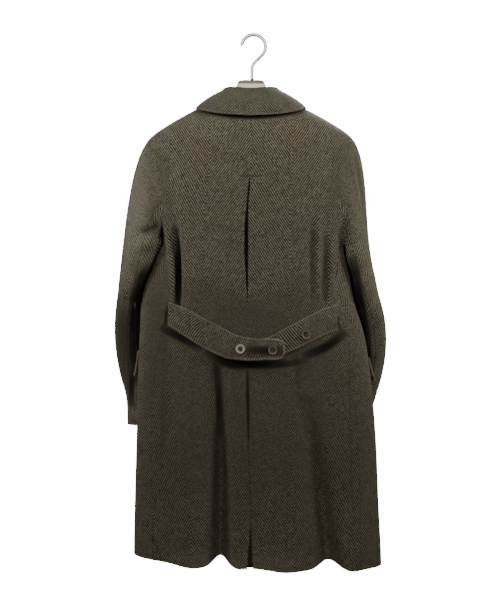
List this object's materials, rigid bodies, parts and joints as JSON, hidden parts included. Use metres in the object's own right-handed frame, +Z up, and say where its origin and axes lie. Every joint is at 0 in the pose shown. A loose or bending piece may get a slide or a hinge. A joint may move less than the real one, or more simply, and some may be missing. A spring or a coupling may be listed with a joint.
{
  "type": "double-breasted coat on a hanger",
  "caption": "Long double-breasted tweed coat with a half belt and an inverted back pleat, hanging open at neck, cuffs and hem on a shaped hanger with a metal hook.",
  "frame": {"origin": "inside top of the hook's crook, where a rail carries the hanger", "axes": "+Z up, +Y out of the coat's back, +X to the wearer's left"},
  "size_m": [0.6081, 0.3236, 1.1619],
  "materials": {
    "tweed": "heavy wool tweed in an olive brown herringbone, matt and slightly hairy",
    "horn": "dark brown horn, polished",
    "hanger_bar": "satin greige with a browner upper edge",
    "hook_metal": "bright plated flat wire"
  },
  "bodies": {
    "root": {"back_left": "tweed", "back_right": "tweed", "front_left": "tweed", "front_right": "tweed", "pleat_underlay": "tweed", "vent_underlap": "tweed", "lapel_left": "tweed", "lapel_right": "tweed", "collar": "tweed", "sleeve_left_top": "tweed", "sleeve_left_under": "tweed", "sleeve_right_top": "tweed", "sleeve_right_under": "tweed", "belt_left": "tweed", "belt_right": "tweed", "pocket_flap_left": "tweed", "pocket_flap_right": "tweed", "belt_button_1": "horn", "belt_button_2": "horn", "belt_button_3": "horn", "front_button_1": "horn", "front_button_2": "horn", "front_button_3": "horn", "front_button_4": "horn", "front_button_5": "horn", "front_button_6": "horn", "hanger_bar": "hanger_bar", "hanger_hook": "hook_metal"}
  },
  "joints": []
}
